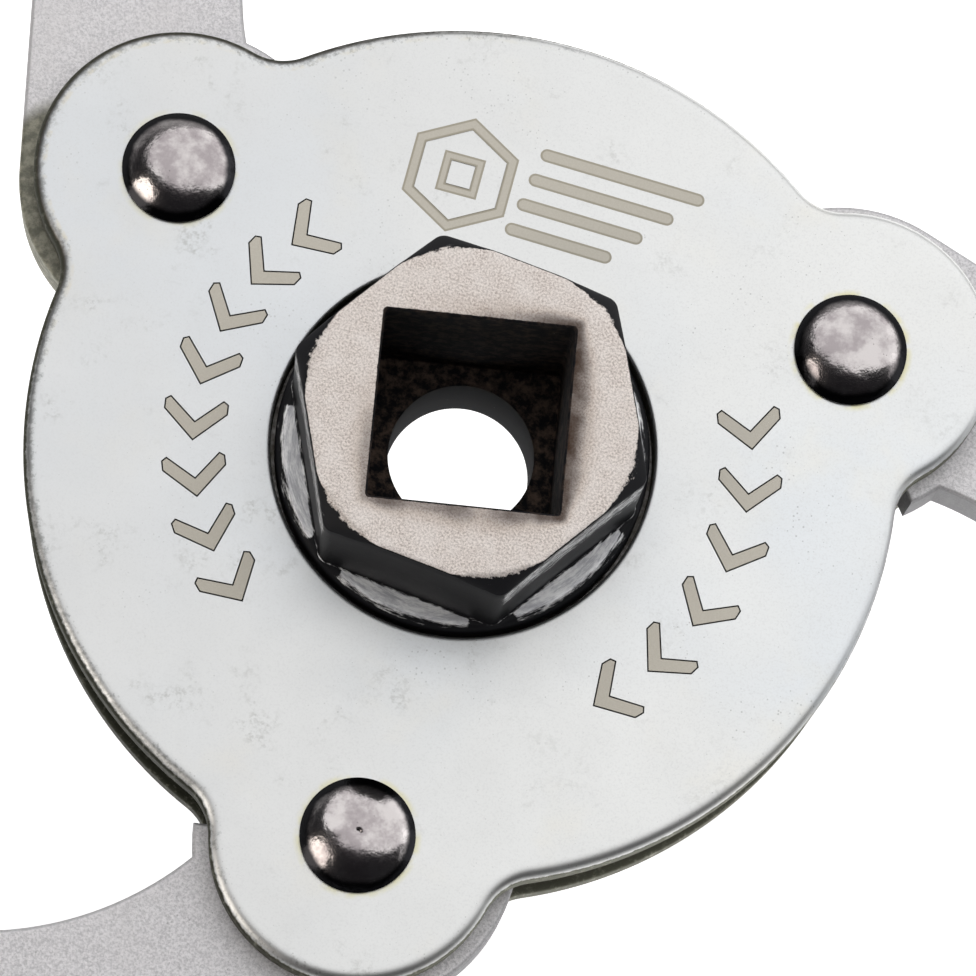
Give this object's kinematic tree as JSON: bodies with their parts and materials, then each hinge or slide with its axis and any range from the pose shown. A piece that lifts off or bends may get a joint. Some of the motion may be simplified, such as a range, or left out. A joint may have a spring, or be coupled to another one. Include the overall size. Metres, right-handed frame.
{
  "type": "oil filter wrench",
  "caption": "Geared oil filter wrench: a square and hexagon drive hub swings curved legs with serrated jaws between two riveted round plates.",
  "frame": {"origin": "middle of the square drive socket's mouth, on the hub's top face", "axes": "+Z along the drive axis, out of the socket; the first rivet lies 30 degrees round from +X"},
  "size_m": [0.1161, 0.1232, 0.0658],
  "materials": {
    "zinc_plate": "bright zinc plated stamping, satin, with fine scuffs",
    "hub_steel": "dark oiled forging, glossy sides and a blasted pale top face",
    "gear_steel": "plain blanked steel, light oil",
    "leg_steel": "matte blasted steel with a fine grain and dark edges",
    "black_rivet": "glossy black rivet heads",
    "bush_steel": "plain turned steel"
  },
  "bodies": {
    "housing": {"top_plate": "zinc_plate", "bottom_plate": "zinc_plate", "pivot_rivet_1": "black_rivet", "pivot_rivet_2": "black_rivet", "pivot_rivet_3": "black_rivet", "spacer_bush_1": "bush_steel", "spacer_bush_2": "bush_steel", "spacer_bush_3": "bush_steel"},
    "hub": {"drive_hub": "hub_steel", "sun_gear": "gear_steel"},
    "leg_a": {"leg_1": "leg_steel"},
    "leg_b": {"leg_2": "leg_steel"},
    "leg_c": {"leg_3": "leg_steel"}
  },
  "joints": [
    {"name": "hub_turn", "type": "hinge", "parent": "housing", "child": "hub", "pos_m": [0, 0, 0], "axis": [0, 0, 1], "range_deg": [-8, 29]},
    {"name": "leg_1_swing", "type": "hinge", "parent": "housing", "child": "leg_a", "pos_m": [0.02425, 0.014, 0], "axis": [0, 0, 1], "range_deg": [-56, 16]},
    {"name": "leg_2_swing", "type": "hinge", "parent": "housing", "child": "leg_b", "pos_m": [-0.02425, 0.014, 0], "axis": [0, 0, 1], "range_deg": [-56, 16]},
    {"name": "leg_3_swing", "type": "hinge", "parent": "housing", "child": "leg_c", "pos_m": [0, -0.028, 0], "axis": [0, 0, 1], "range_deg": [-56, 16]}
  ],
  "couplings": [
    {"joint": "leg_1_swing", "follows": "hub_turn", "ratio": -1.9091},
    {"joint": "leg_2_swing", "follows": "hub_turn", "ratio": -1.9091},
    {"joint": "leg_3_swing", "follows": "hub_turn", "ratio": -1.9091}
  ]
}
